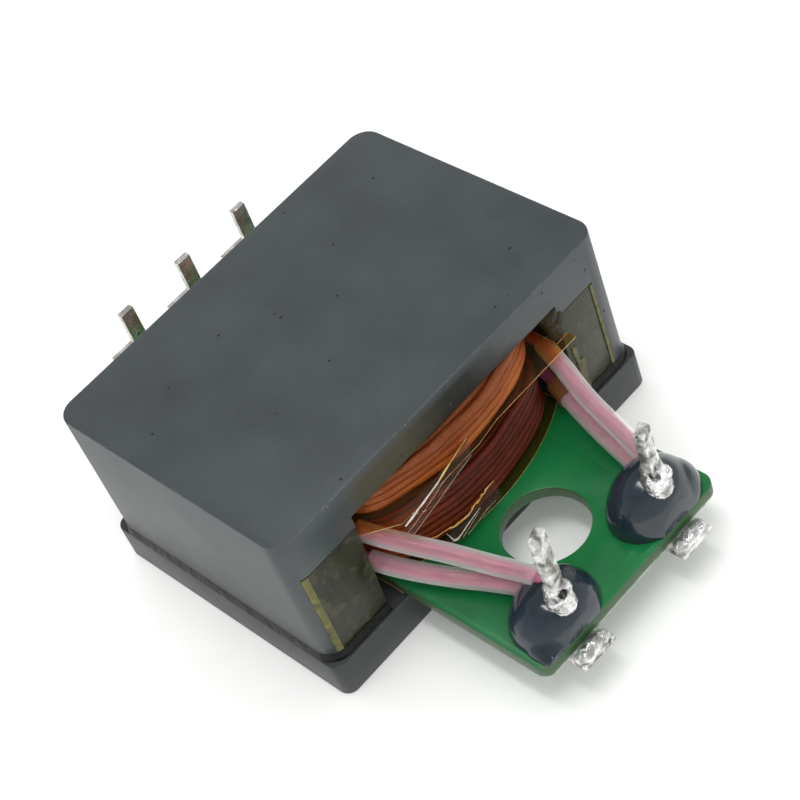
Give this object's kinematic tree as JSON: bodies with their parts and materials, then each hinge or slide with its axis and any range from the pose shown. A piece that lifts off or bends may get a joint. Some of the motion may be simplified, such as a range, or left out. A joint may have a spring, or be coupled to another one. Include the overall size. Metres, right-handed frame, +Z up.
{
  "type": "planar transformer",
  "caption": "Low power transformer: a ground ferrite core glued round stacked wire coils, a green carrier board with sealed strip pins in front and a pin board behind.",
  "frame": {"origin": "centre of the base plate's underside, in the core's middle", "axes": "+Z up through the core's top, -Y out of the window with the carrier board and the leads, +X to the right as seen from that side"},
  "size_m": [0.0508, 0.0701, 0.0246],
  "materials": {
    "ferrite": "ground sintered ferrite, satin grey with fine pits",
    "leg_ferrite": "ferrite under streaky olive varnish",
    "yellow_glue": "dried khaki epoxy glue",
    "dark_glue": "dark grey sealing glue",
    "resin_brown": "dark brown cured resin",
    "film": "thin amber polyimide film, glossy and see-through",
    "pad": "pressed insulating sheet",
    "board": "glass-epoxy board under green lacquer",
    "coil_lower": "enamelled copper strands, dark red brown",
    "coil_upper": "enamelled copper strands, orange",
    "sleeve": "clear insulating sleeve, slightly milky",
    "wire": "pink insulated wire",
    "tape": "brown adhesive tape",
    "tinned_rough": "tinned copper strip with rough solder",
    "tinned_plain": "plain tinned copper strip",
    "solder": "bright mottled solder",
    "epoxy": "glossy blue-black potting resin"
  },
  "bodies": {
    "root": {"core_base": "ferrite", "core_cap": "ferrite", "leg_block_left": "leg_ferrite", "leg_block_right": "leg_ferrite", "glue_layer_left": "yellow_glue", "glue_layer_right": "yellow_glue", "seam_bead_left": "dark_glue", "seam_bead_right": "dark_glue", "floor_film": "pad", "leg_tape": "film", "carrier_board": "board", "lower_film": "film", "lower_coil": "coil_lower", "winding_pad": "pad", "winding_board": "board", "middle_film": "film", "upper_coil": "coil_upper", "roof_film": "film", "sleeve_left_upper": "sleeve", "sleeve_left_lower": "sleeve", "sleeve_right_upper": "sleeve", "sleeve_right_lower": "sleeve", "wire_left_upper": "wire", "wire_left_lower": "wire", "wire_right_upper": "wire", "wire_right_lower": "wire", "lead_tape": "tape", "front_terminal_left": "tinned_rough", "front_terminal_right": "tinned_rough", "resin_dome_left": "epoxy", "resin_dome_right": "epoxy", "solder_collar_left": "solder", "solder_collar_right": "solder", "foot_solder_left": "solder", "foot_solder_right": "solder", "rear_terminal_left": "tinned_plain", "rear_terminal_middle": "tinned_plain", "rear_terminal_right": "tinned_plain", "rear_solder": "solder", "resin_lump": "resin_brown", "glue_run": "yellow_glue"}
  },
  "joints": []
}
